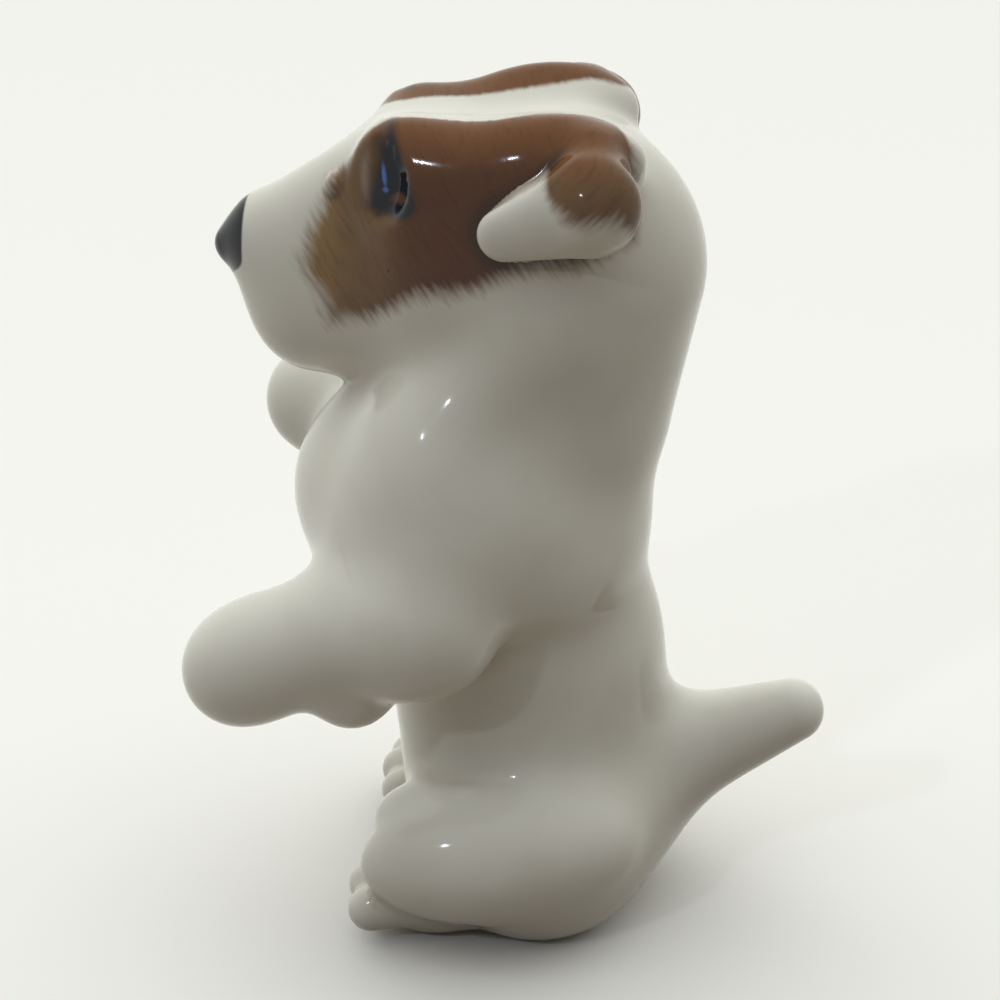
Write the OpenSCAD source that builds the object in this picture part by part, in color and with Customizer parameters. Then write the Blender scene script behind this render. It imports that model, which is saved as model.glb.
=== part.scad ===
// Begging terrier figurine in glazed porcelain.
// Torso and head are hollow slip castings that meet on the neck's seat. Ears, legs and tail are solid
// castings, each hollowed at its root to the surface that it is luted on. The dog faces -Y and stands on
// Z = 0.

/* [Torso] */
// Width across the breast
chest_w = 24.4; // [23:0.2:27]
// Depth of the chest from breastbone to back
chest_d = 27.8; // [26.6:0.2:29.4]
// Height of the breast itself
chest_h = 23; // [21:0.5:25]
// Height of the chest's middle above the base
chest_z = 35.5; // [34.5:0.25:36.5]
// Width across the shoulders
shoulder_w = 28.8; // [27:0.2:30.4]
// Width across the ribs
rib_w = 25.2; // [24:0.2:27]
// Width of the waist
waist_w = 21.2; // [20:0.2:24]
// Depth of the waist
waist_d = 23; // [21.6:0.2:24.4]
// Width of the seat
seat_w = 26; // [24:0.2:28]
// Depth of the seat
seat_d = 23.2; // [22:0.2:25]
// Width across the haunches
haunch_w = 29; // [28:0.2:31]
// Width of the neck
neck_w = 20.2; // [19:0.2:21.6]
// Depth of the neck
neck_d = 21.2; // [20:0.2:22.5]
// Height of the middle of the neck's seat above the base
neck_z = 49.2; // [48:0.2:51]
// Tilt of the neck's seat, higher at the nape
neck_tilt = 13.5; // [11:0.5:16]
// Thickness of the cast wall
wall = 3; // [2:0.25:4]
// Diameter of the vent hole in the base
vent_d = 5; // [3:0.5:8]

/* [Head] */
// Width of the skull
skull_w = 19.2; // [18:0.2:21]
// Length of the skull
skull_l = 20; // [19:0.2:21.5]
// Height of the skull
skull_h = 18.8; // [18:0.2:20]
// Width across the cheeks
cheek_w = 19.6; // [18:0.2:21]
// Reach of the nose tip ahead of the middle of the neck's seat
nose_reach = 26.2; // [24.5:0.2:28]
// Width of the nose
nose_w = 6.2; // [5:0.2:7]
// Thickness of the bridge behind the nose
bridge_d = 7.4; // [6.4:0.2:8.4]
// Thickness of the jaw at the chin
chin_d = 11; // [10:0.2:12]
// Distance between the two brows
brow_span = 9.6; // [9:0.2:10.6]
// Thickness of the crest over each eye
brow_d = 7; // [6.4:0.2:7.6]

/* [Ears] */
// Length of the ear's flap from front to back
ear_l = 11.6; // [10.6:0.1:12.8]
// Height of the ear's flap at its rear
ear_h = 7.2; // [6.4:0.2:8]
// Height of the ear's flap at its front
ear_front_h = 4.2; // [3.6:0.2:5.2]
// Thickness of the ear's flap
ear_t = 4.2; // [3.6:0.2:5]

/* [Forelegs] */
// Distance between the middles of the two elbows
elbow_span = 24.8; // [23:0.2:27]
// Thickness of the upper arm
arm_d = 12; // [10.5:0.2:13]
// Thickness of the leg at the wrist
wrist_d = 9.5; // [8.5:0.1:10.5]
// Thickness of the paw
paw_d = 9.4; // [8.4:0.2:10.6]
// Reach of the left paw's middle ahead of the origin
left_reach = 20.2; // [18:0.2:22]
// Height of the left paw's middle above the base
left_paw_z = 25.2; // [23:0.2:28]
// Reach of the right paw's middle ahead of the origin
right_reach = 17.6; // [16.6:0.2:19]
// Height of the right paw's middle above the base
right_paw_z = 38.8; // [37:0.2:39.4]

/* [Hind legs] */
// Length of the thigh
thigh_l = 22; // [20:0.2:24]
// Height of the thigh
thigh_h = 11.6; // [10.6:0.2:13]
// Thickness of the thigh
thigh_t = 10.8; // [9.8:0.2:12.4]
// Distance between the middles of the two hind paws
paw_span = 18; // [17:0.2:21]
// Length of the hind paw from heel to toe
foot_l = 11.6; // [10.6:0.2:13]
// Width of the hind paw
foot_w = 8.4; // [7.6:0.2:9.4]
// Thickness of a toe
toe_d = 4; // [3.4:0.1:4.6]

/* [Tail] */
// Length of the tail between the middles of its two ends
tail_l = 14.9; // [12:0.1:18]
// Thickness of the tail at its root
tail_root_d = 11; // [9.8:0.2:12]
// Thickness of the tail at its tip
tail_tip_d = 5.5; // [4.5:0.1:6.5]
// Rise of the tail above level
tail_rise = 26; // [18:1:34]

/* [Hidden] */

// Points round the trunk's and head's rings, round the smaller castings and round the vent
trunk_sides = 44;
leg_sides = 28;
small_sides = 24;
vent_sides = 48;
// How far a casting is carried below the base before it is cut level, in mm
cut_depth = 1;
// Length of the widest casting, for the cutting block under the base
block_size = 4 * chest_d;

// The neck's seat: its middle and the direction in it towards the nape
neck_at = [0, 3, neck_z];
seat_back = [0, cos(neck_tilt), sin(neck_tilt)];

// Torso: the neck's axis, the middles and sizes of the masses, and the place of the vent along Y
neck_low = [0, 2.2, chest_z + 9.5];
neck_high = neck_at + [0, 1.3, 6];
chest_at = [0, -3.8, chest_z];
chest_tip = -8;
rib_at = [0, 0.1, chest_z - 2];
rib_size = [rib_w, chest_d - 7, chest_h - 6];
rib_tip = -14;
shoulder_size = [10, 12.6, 13.6];
shoulder_at = [(shoulder_w - shoulder_size.x) / 2, -4.8, chest_z + 3];
strap_high = neck_at + [6.8, 0.4, 3.4];
strap_low = shoulder_at + [-1.6, 0.4, 6.2];
strap_d = [7, 8];
waist_at = [0, 1.4, 20.5];
waist_size = [waist_w, waist_d, 32];
seat_at = [0, 3.2, 8.8];
seat_size = [seat_w, seat_d, 19.2];
haunch_size = [14.8, 17, 14];
haunch_at = [(haunch_w - haunch_size.x) / 2, 2.6, 6.2];
foot_y = 3;

// Head: the middles and sizes of the masses, from the middle of the neck's seat
skull_at = neck_at + [0, -1.2, 8.4];
cheek_size = [10.4, 14.4, 15.6];
cheek_at = neck_at + [(cheek_w - cheek_size.x) / 2, -6.2, 7.8];
nose_tip_d = 3;
nose_at = neck_at + [0, nose_tip_d / 2 + 1.2 - nose_reach, 7.2];
nose_root = nose_at + [0, 1.6, 0.8];
nose_root_d = nose_w - 0.6;
nose_end = nose_at + [0, -1.2, -0.4];
bridge_root = neck_at + [0, -9.5, 12.9];
bridge_end = nose_at + [0, 2.3, -0.2];
bridge_root_d = bridge_d + 3.8;
jaw_root = neck_at + [0, -8.5, 4];
jaw_end = nose_at + [0, 5.4, -5];
jaw_root_d = chin_d + 4.4;
muzzle_mass_at = nose_at + [0, 8, -1.6];
muzzle_size = [10.8, 14.5, 11.4];
muzzle_tip = -8;
brow_at = neck_at + [brow_span / 2, -10.2, 14.8];
crest_end = neck_at + [6.2, -1, 13.8];
crest_end_d = brow_d + 0.4;
socket_at = brow_at + [4.6, -4.4, -0.4];
socket_size = [8.6, 9.6, 9.4];
socket_tip = 8;
eye_at = brow_at + [0.6, -1.1, -0.9];
eye_size = [3.4, 3.8, 6.2];
corner_at = brow_at + [-1, -5.6, -1.8];
corner_size = [1.7, 1.8, 1.6];

// Ears: the seat on the skull, the fold and the flap. The right ear is set a little ahead and higher
ear_root = [skull_w / 2 - 3, 4.2, neck_z + 16];
ear_seat_size = [6.4, 12, 6.4];
ear_rear = [skull_w / 2 + 2.1, 6.4, neck_z + 13.9];
ear_front = ear_rear - [0.1, ear_l - (ear_h + ear_front_h) / 2, 2.1];
fold_root = ear_root + [1.6, 2, 0.4];
fold_end = ear_rear + [-0.2, 0.4, 0.2];
fold_root_d = 4.8;
fold_end_d = ear_h - 0.8;
right_ear_shift = [0, -1.2, 0.6];

// Legs: elbows, paws, thighs, knees and toes
left_elbow = [elbow_span / 2, -6, chest_z - 5.4];
right_elbow = [elbow_span / 2, -6.4, chest_z - 1.6];
left_paw = [elbow_span / 2 - 0.4, -left_reach, left_paw_z];
right_paw = [elbow_span / 2 - 1.4, -right_reach, right_paw_z];
// The arm's top under the shoulder: its place across and back from the elbow, and its height
arm_set = [-4, 3.6];
arm_top_z = chest_z + 1.4;
arm_top_d = arm_d - 1;
elbow_d = arm_d - 0.4;
// How far the wrist lies behind the paw's middle, and how far the forearm is raised at elbow and wrist
wrist_back = 3.6;
fore_lift = [0.8, 0.6];
fist_size = [paw_d, paw_d - 0.2, paw_d];
fist_tip = -25;
pad_ahead = 5.6;
pad_drop = 4.2;
pad_size = [7.2, 6.8, 6.4];
thigh_at = [(haunch_w - 5.8) / 2, -0.2, 8.8];
thigh_size = [thigh_t, thigh_l, thigh_h];
thigh_turn = 6;
knee_at = thigh_at + [-2.2, -5.4, 1.8];
knee_size = [7.6, 9.4, 5.4];
foot_at = [paw_span / 2, -5.6, 3.5];
foot_size = [foot_w, foot_l, 7.6];
toe_pitch = foot_w * 0.3;
toe_spread = 1.2;
toe_root = [-1.4, 0.5];
toe_end = 1 - foot_l / 2;
// Sink and reach of the middle toe and of the two outer ones
middle_toe = [-0.1, -0.4];
outer_toe = [-0.4, 0];

// The tail starts inside the seat and runs back and up
tail_root = [0, seat_at.y + seat_d / 2 - 4.8, 10.4];
tail_tip = tail_root + tail_l * [0, cos(tail_rise), sin(tail_rise)];

// Fillets between the masses of each casting
neck_fillet = 5;
rib_fillet = 4;
strap_fillet = 4.5;
shoulder_fillet = 6;
waist_fillet = 2.2;
seat_fillet = 5;
haunch_fillet = 4;
cheek_fillet = 4;
bridge_fillet = 3;
jaw_fillet = 3.5;
muzzle_fillet = 3;
crest_fillet = 3.5;
nose_fillet = 1.6;
ear_seat_fillet = 3.2;
socket_fillet = 0.6;
eye_fillet = 0.3;
corner_fillet = 0.5;
throat_fillet = 3;
flap_fillet = 1;
elbow_fillet = 2.5;
fist_fillet = 3;
pad_fillet = 2;
knee_fillet = 1.2;
toe_fillet = 0.8;

// Distance to an egg-shaped mass, negative inside, with full sizes, tipped about X and then turned about Z
function egg(p, at, size, tip = 0, turn = 0) =
    let (q = p - at,
         y1 = q.y * cos(tip) + q.z * sin(tip),
         z = q.z * cos(tip) - q.y * sin(tip),
         x = q.x * cos(turn) + y1 * sin(turn),
         y = y1 * cos(turn) - q.x * sin(turn),
         r = size / 2,
         share = norm([x / r.x, y / r.y, z / r.z]),
         slope = norm([x / r.x / r.x, y / r.y / r.y, z / r.z / r.z]))
    share < 0.01 ? -min(r) : share * (share - 1) / slope;

// Distance to a bar with round ends that tapers from a to b, found square to its slanted side. The factor
// flat narrows it across X
function bar(p, a, b, d_a, d_b, flat = 1) =
    let (q = [(p.x - a.x) / flat, p.y - a.y, p.z - a.z],
         run = [(b.x - a.x) / flat, b.y - a.y, b.z - a.z],
         length = norm(run),
         along = q * run / length,
         off = sqrt(max(q * q - along * along, 0)),
         taper = (d_a - d_b) / 2,
         lean = taper / sqrt(length * length - taper * taper),
         t = min(max((along - off * lean) / length, 0), 1))
    (norm([off, along - t * length]) - d_a / 2 + taper * t) * flat;

// Two masses pressed together, filled by k / 4 where they meet, and one carved out of another the same way
function blend(a, b, k) =
    let (h = max(1 - abs(a - b) / (1.5 * k), 0))
    min(a, b) - k * h * h * h / 4;
function carve(a, b, k) = -blend(-a, b, k);

// The same place on the dog's left side, and as the left ear sees it
function on_left(p) = [abs(p.x), p.y, p.z];
function for_ears(p) = on_left(p) - (p.x < 0 ? right_ear_shift : [0, 0, 0]);

function torso_form(p) =
    let (q = on_left(p),
         neck = bar(p, neck_low, neck_high, neck_d, neck_d, neck_w / neck_d),
         strap = bar(q, strap_high, strap_low, strap_d[0], strap_d[1]),
         chest = egg(p, chest_at, [chest_w, chest_d, chest_h], chest_tip),
         ribs = egg(p, rib_at, rib_size, rib_tip),
         shoulder = egg(q, shoulder_at, shoulder_size),
         waist = egg(p, waist_at, waist_size),
         seat = egg(p, seat_at, seat_size),
         haunch = egg(q, haunch_at, haunch_size),
         breast = blend(blend(blend(neck, chest, neck_fillet), ribs, rib_fillet), strap, strap_fillet),
         upper = blend(breast, shoulder, shoulder_fillet))
    blend(blend(blend(upper, waist, waist_fillet), seat, seat_fillet), haunch, haunch_fillet);

function head_form(p) =
    let (q = on_left(p),
         skull = egg(p, skull_at, [skull_w, skull_l, skull_h]),
         cheek = egg(q, cheek_at, cheek_size),
         bridge = bar(p, bridge_root, bridge_end, bridge_root_d, bridge_d),
         jaw = bar(p, jaw_root, jaw_end, jaw_root_d, chin_d),
         muzzle = egg(p, muzzle_mass_at, muzzle_size, muzzle_tip),
         crest = bar(q, brow_at, crest_end, brow_d, crest_end_d),
         nose = bar(p, nose_root, nose_end, nose_root_d, nose_tip_d),
         ear_seat = egg(for_ears(p), ear_root, ear_seat_size),
         socket = egg(q, socket_at, socket_size, socket_tip),
         eye = egg(q, eye_at, eye_size),
         corner = egg(q, corner_at, corner_size),
         cheeks = blend(skull, cheek, cheek_fillet),
         face = blend(blend(blend(cheeks, bridge, bridge_fillet), jaw, jaw_fillet), muzzle, muzzle_fillet),
         brows = blend(blend(blend(face, crest, crest_fillet), nose, nose_fillet), ear_seat, ear_seat_fillet),
         sockets = carve(brows, socket, socket_fillet))
    blend(blend(sockets, eye, eye_fillet), corner, corner_fillet);

// Head and torso are one form, parted at the neck's seat
function trunk_form(p) = blend(torso_form(p), head_form(p), throat_fillet);

function ear_form(p) =
    let (fold = bar(p, fold_root, fold_end, fold_root_d, fold_end_d),
         flap = bar(p, ear_front, ear_rear, ear_front_h, ear_h, ear_t / ear_h))
    blend(fold, flap, flap_fillet);

function foreleg_form(p, elbow, paw) =
    let (run = paw - elbow,
         ahead = run / norm(run),
         wrist = paw - wrist_back * ahead,
         top = [elbow.x + arm_set[0], elbow.y + arm_set[1], arm_top_z],
         arm = bar(p, top, elbow, arm_top_d, elbow_d),
         fore = bar(p, elbow + [0, 0, fore_lift[0]], wrist + [0, 0, fore_lift[1]], arm_d, wrist_d),
         fist = egg(p, paw, fist_size, fist_tip),
         pad = egg(p, elbow + pad_ahead * ahead - [0, 0, pad_drop], pad_size))
    blend(blend(blend(arm, fore, elbow_fillet), fist, fist_fillet), pad, pad_fillet);

function thigh_form(p) =
    let (thigh = egg(p, thigh_at, thigh_size, thigh_turn, thigh_turn),
         knee = egg(p, knee_at, knee_size))
    blend(thigh, knee, knee_fillet);

// One toe, by its place in the row from -1 to 1, with its sink and reach
function toe_form(p, side, place) =
    let (root = foot_at + [side * toe_pitch, toe_root[0], place[0] + toe_root[1]],
         end = foot_at + [toe_spread * side * toe_pitch, toe_end + place[1], place[0]])
    bar(p, root, end, toe_d, toe_d);

function paw_form(p) =
    let (foot = egg(p, foot_at, foot_size),
         middle = blend(foot, toe_form(p, 0, middle_toe), toe_fillet),
         inner = blend(middle, toe_form(p, -1, outer_toe), toe_fillet))
    blend(inner, toe_form(p, 1, outer_toe), toe_fillet);

function tail_form(p) = bar(p, tail_root, tail_tip, tail_root_d, tail_tip_d);

// Distance from o along d to the skin of a form, or to a skin lying deeper inside it by inset
close_enough = 0.01;
function reach(form, o, d, inset = 0, most = 1000, r = 0, steps = 30) =
    let (gap = form(o + r * d) + inset)
    steps == 0 || abs(gap) < close_enough
        ? r
        : reach(form, o, d, inset, most, min(max(r - gap, 0), most), steps - 1);

// Ring of points where the skin meets a plane through o spanned by across and along. Rays that run against
// along stop at the distance stop behind o
function ring(form, o, across, along, sides, inset = 0, stop = 1000) =
    [for (i = [0:sides - 1])
        let (a = 360 * i / sides,
             d = across * cos(a) + along * sin(a),
             most = (stop - inset) / max(-sin(a), 0.01))
        o + d * reach(form, o, d, inset, most)];

// Cone of rays round an axis, opened by the angle spread
function cap_ring(form, o, axis, across, along, spread, sides, inset = 0) =
    [for (i = [0:sides - 1])
        let (a = 360 * i / sides, d = axis * cos(spread) + (across * cos(a) + along * sin(a)) * sin(spread))
        o + d * reach(form, o, d, inset)];

function pole(form, o, axis, inset = 0) = [o + axis * reach(form, o, axis, inset)];

// Closed skin through a list of rings, whose first and last are single points
module skin(rings) {
    points = [for (r = rings) each r];
    start = [for (i = 0, n = 0; i < len(rings); n = n + len(rings[i]), i = i + 1) n];
    faces = [for (i = [0:len(rings) - 2])
        let (a = len(rings[i]), b = len(rings[i + 1]), n = max(a, b))
        for (j = [0:n - 1])
            let (k = (j + 1) % n,
                 p = start[i] + (a == 1 ? 0 : j),
                 q = start[i] + (a == 1 ? 0 : k),
                 r = start[i + 1] + (b == 1 ? 0 : k),
                 s = start[i + 1] + (b == 1 ? 0 : j),
                 short = norm(points[p] - points[r]) < norm(points[q] - points[s]))
            each a == 1 ? [[p, s, r]]
                : b == 1 ? [[p, s, q]]
                : short ? [[p, s, r], [p, r, q]] : [[p, s, q], [q, s, r]]];
    polyhedron(points, faces);
}

// Rings of the torso: level at the base, turning to the neck's seat, about a line inside the body
// Further below the seat than head_clear the head's form no longer matters. Rays towards the throat stop
// just short of it
head_clear = 16;
throat_reach = 16;
throat_gap = 0.5;
throat_stop = throat_reach - throat_gap;
torso_line = [[0, foot_y], [10, foot_y], [20, 1], [34, -2.6], [44, 0.6], [neck_z, neck_at.y]];
base_at = [0, foot_y, -cut_depth];
function torso_ring(z, inset = 0) =
    let (tilt = neck_tilt * pow(max(z, 0) / neck_z, 2),
         o = [0, lookup(z, torso_line), z],
         near_head = z > neck_z - head_clear,
         form = function (p)
             let (q = [p.x, p.y, max(p.z, 0)])
             near_head ? trunk_form(q) : torso_form(q))
    ring(form, o, [1, 0, 0], [0, cos(tilt), sin(tilt)], trunk_sides, inset, z < neck_z ? 1000 : throat_stop);

torso_rows = 26;
cavity_rows = 9;
torso_skin =
    [for (i = [0:torso_rows])
        torso_ring(-cut_depth + (neck_z + cut_depth) * i / torso_rows)];
function torso_cavity() =
    [for (i = [0:cavity_rows])
        torso_ring(neck_z + (wall - neck_z) * i / cavity_rows, wall)];

// Rings of the head: they swing about a line under the jaw, from the neck's seat to the muzzle, and then
// close over the nose
throat = neck_at - throat_reach * seat_back;
muzzle_dip = 15;
muzzle_axis = [0, -cos(muzzle_dip), -sin(muzzle_dip)];
muzzle_up = [0, -sin(muzzle_dip), cos(muzzle_dip)];
muzzle_at = nose_at + [0, 3.6, -1.6];
head_turn = 90 + muzzle_dip - neck_tilt;
// How much nearer the rings' middles come to the throat on their way to the muzzle
head_draw = 6.5;
function head_ring(turn, inset = 0) =
    let (a = neck_tilt + turn,
         along = [0, cos(a), sin(a)],
         out = throat_reach - head_draw * turn / head_turn,
         stop = out - throat_gap)
    ring(function (p) trunk_form(p), throat + out * along, [1, 0, 0], along, trunk_sides, inset, stop);
function nose_ring(spread, inset = 0) =
    let (form = function (p) trunk_form(p))
    cap_ring(form, muzzle_at, muzzle_axis, [1, 0, 0], muzzle_up, spread, trunk_sides, inset);

head_rows = 24;
nose_rows = 7;
hollow_rows = 7;
head_skin = concat(
    [for (i = [0:head_rows]) head_ring(head_turn * i / head_rows)],
    [for (i = [0:nose_rows - 1]) nose_ring(90 * (1 - i / nose_rows))],
    [pole(function (p) trunk_form(p), muzzle_at, muzzle_axis)]);
function head_cavity() = concat(
    [for (i = [0:hollow_rows]) head_ring(head_turn * i / hollow_rows, wall)],
    [pole(function (p) trunk_form(p), throat + (throat_reach - head_draw) * muzzle_up, muzzle_axis, wall)]);

function reversed(list) = [for (i = [len(list) - 1:-1:0]) list[i]];

// Skin of a small casting: rays fan out round a straight core from a to b, over both of its ends
function casting_skin(form, a, b, sides, rows) =
    let (run_rows = rows[0],
         cap_rows = rows[1],
         axis = (b - a) / norm(b - a),
         up = abs(axis.z) < 0.9 ? [0, 0, 1] : [0, -1, 0],
         across = cross(axis, up) / norm(cross(axis, up)),
         along = cross(axis, across))
    concat(
        [pole(form, a, -axis)],
        [for (i = [1:cap_rows]) cap_ring(form, a, -axis, across, along, 90 * i / cap_rows, sides)],
        [for (i = [1:run_rows - 1]) ring(form, a + (b - a) * i / run_rows, across, along, sides)],
        [for (i = [cap_rows:-1:1]) cap_ring(form, b, axis, across, along, 90 * i / cap_rows, sides)],
        [pole(form, b, axis)]);

// Rows along the core of each small casting and over each of its ends
ear_rows = [7, 5];
foreleg_rows = [9, 6];
thigh_rows = [6, 6];
paw_rows = [4, 6];
tail_rows = [7, 5];

// Ends of the cores of ear and paw, from the middles of their masses
ear_core_front = [-0.4, 0.4, 0.2];
ear_core_rear = [-1, 0, 0.6];
heel_core = [0, 2, 0];
toe_core = [0, 2 - foot_l / 2, -0.8];

// Solid outsides of torso and head, for the roots that seat on them
module torso_outside() skin(concat([[base_at]], torso_skin, [[neck_at]]));
module head_outside() skin(concat([[neck_at]], head_skin));

// Everything under the base
module below_base() translate([-block_size / 2, -block_size / 2, -block_size]) cube(block_size);

module torso() {
    floor_at = [0, lookup(wall, torso_line), wall];
    color("gainsboro")
    difference() {
        skin(concat([[base_at]], torso_skin, torso_cavity(), [[floor_at]]));
        below_base();
        translate(base_at) cylinder(d = vent_d, h = wall + 2 * cut_depth, $fn = vent_sides);
    }
}

module head() {
    color("gainsboro") skin(concat(reversed(head_cavity()), head_skin));
}

module ear(hand) {
    form = function (p) ear_form(p);
    color("saddlebrown")
    difference() {
        translate(hand < 0 ? right_ear_shift : [0, 0, 0])
        mirror([hand < 0 ? 1 : 0, 0, 0])
        skin(casting_skin(form, ear_front + ear_core_front, ear_rear + ear_core_rear, small_sides, ear_rows));
        head_outside();
    }
}

module foreleg(hand, elbow, paw) {
    form = function (p) foreleg_form(p, elbow, paw);
    color("gainsboro")
    difference() {
        mirror([hand < 0 ? 1 : 0, 0, 0]) skin(casting_skin(form, elbow, paw, leg_sides, foreleg_rows));
        torso_outside();
    }
}

module hind_leg(hand) {
    thigh = function (p) thigh_form(p);
    paw = function (p) paw_form(p);
    half = [0, thigh_l / 4, 0];
    color("gainsboro")
    difference() {
        mirror([hand < 0 ? 1 : 0, 0, 0]) {
            skin(casting_skin(thigh, thigh_at + half, thigh_at - half, leg_sides, thigh_rows));
            skin(casting_skin(paw, foot_at + heel_core, foot_at + toe_core, leg_sides, paw_rows));
        }
        torso_outside();
        below_base();
    }
}

module left_ear() ear(1);
module right_ear() ear(-1);
module left_foreleg() foreleg(1, left_elbow, left_paw);
module right_foreleg() foreleg(-1, right_elbow, right_paw);
module left_hind_leg() hind_leg(1);
module right_hind_leg() hind_leg(-1);

module tail() {
    form = function (p) tail_form(p);
    color("gainsboro")
    difference() {
        skin(casting_skin(form, tail_root, tail_tip, small_sides, tail_rows));
        torso_outside();
    }
}

torso();
head();
left_ear();
right_ear();
left_foreleg();
right_foreleg();
left_hind_leg();
right_hind_leg();
tail();
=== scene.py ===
"""Begging terrier figurine in glazed porcelain: its nine castings as smooth luted forms, with their paint."""
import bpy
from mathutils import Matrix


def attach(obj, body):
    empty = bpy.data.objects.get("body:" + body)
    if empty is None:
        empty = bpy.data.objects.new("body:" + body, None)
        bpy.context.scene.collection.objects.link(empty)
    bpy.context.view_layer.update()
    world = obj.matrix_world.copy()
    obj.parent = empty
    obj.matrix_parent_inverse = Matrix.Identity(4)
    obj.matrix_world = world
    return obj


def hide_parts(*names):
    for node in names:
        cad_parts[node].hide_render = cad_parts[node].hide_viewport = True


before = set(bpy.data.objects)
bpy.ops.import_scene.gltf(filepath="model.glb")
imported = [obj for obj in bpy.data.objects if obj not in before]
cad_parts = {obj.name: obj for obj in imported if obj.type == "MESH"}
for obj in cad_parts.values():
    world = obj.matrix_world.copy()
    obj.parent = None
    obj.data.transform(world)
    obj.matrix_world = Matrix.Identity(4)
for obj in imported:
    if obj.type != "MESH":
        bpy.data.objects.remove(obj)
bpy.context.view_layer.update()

from types import SimpleNamespace

import bpy
import numpy as np
from bpy.props import FloatProperty, FloatVectorProperty, PointerProperty
from mathutils import Matrix, Vector

bl_info = {
    "name": "Porcelain Terrier",
    "version": (1, 0, 0),
    "blender": (4, 5, 0),
    "location": "View3D > Sidebar > Terrier",
    "description": "Begging terrier figurine in painted and glazed porcelain",
    "category": "Object",
}

MM = 0.001
# Depth that every glazed surface lies inside its casting's own outline, in mm
GLAZE_INSET = 0.1
# Furthest that a casting's skin swells outwards to meet its neighbour in a luted joint, in mm
LUTE_REACH = 4.5
# How far a small casting's skin laps over the trunk past the joint before it dives, how deep it dives and over what
# length, in mm
LAP = 0.3
DIVE_DEPTH = 0.3
DIVE_LENGTH = 0.6
# How far the trunk sinks beneath the castings that lap over it, and over what length, in mm
SINK_DEPTH = 0.08
SINK_LENGTH = 1.0
# Steps in which a ray finds its casting's own skin and then the glazed surface, and the share of the gap to that
# surface that each step closes
SKIN_STEPS = 26
GLAZE_STEPS = 22
GLAZE_PACE = 0.9
# Longest ray from the core of the trunk and of a small casting, and the ray that closes the trunk's ends at the
# neck's seat, in mm
TRUNK_RAY = 60.0
SMALL_RAY = 40.0
SEAT_RAY = 0.2
# Hollowness at which creases start to darken with painted shade and the tint of pooled glaze, and how much more gives
# the full amount, in 1/mm
POOL_AND_SHADE_FROM = 0.1
POOL_AND_SHADE_RANGE = 0.7


# Units and colours

def linear(hex_colour):
    """Linear RGB of an sRGB hex colour."""
    c = np.array([int(hex_colour[i:i + 2], 16) for i in (1, 3, 5)]) / 255.0
    return tuple(np.where(c <= 0.04045, c / 12.92, ((c + 0.055) / 1.055) ** 2.4))


def size(name, description, mm):
    """Length setting with its default given in mm."""
    return FloatProperty(name=name, description=description, default=mm * MM, min=0.0, precision=4,
                         unit="LENGTH", subtype="DISTANCE")


def angle(name, description, degrees):
    """Angle setting with its default given in degrees."""
    return FloatProperty(name=name, description=description, default=np.radians(degrees),
                         unit="ROTATION", subtype="ANGLE")


def colour(name, description, hex_colour):
    """Colour setting with its default given as sRGB."""
    return FloatVectorProperty(name=name, description=description, default=linear(hex_colour), size=3,
                               min=0.0, max=1.0, subtype="COLOR")


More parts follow.
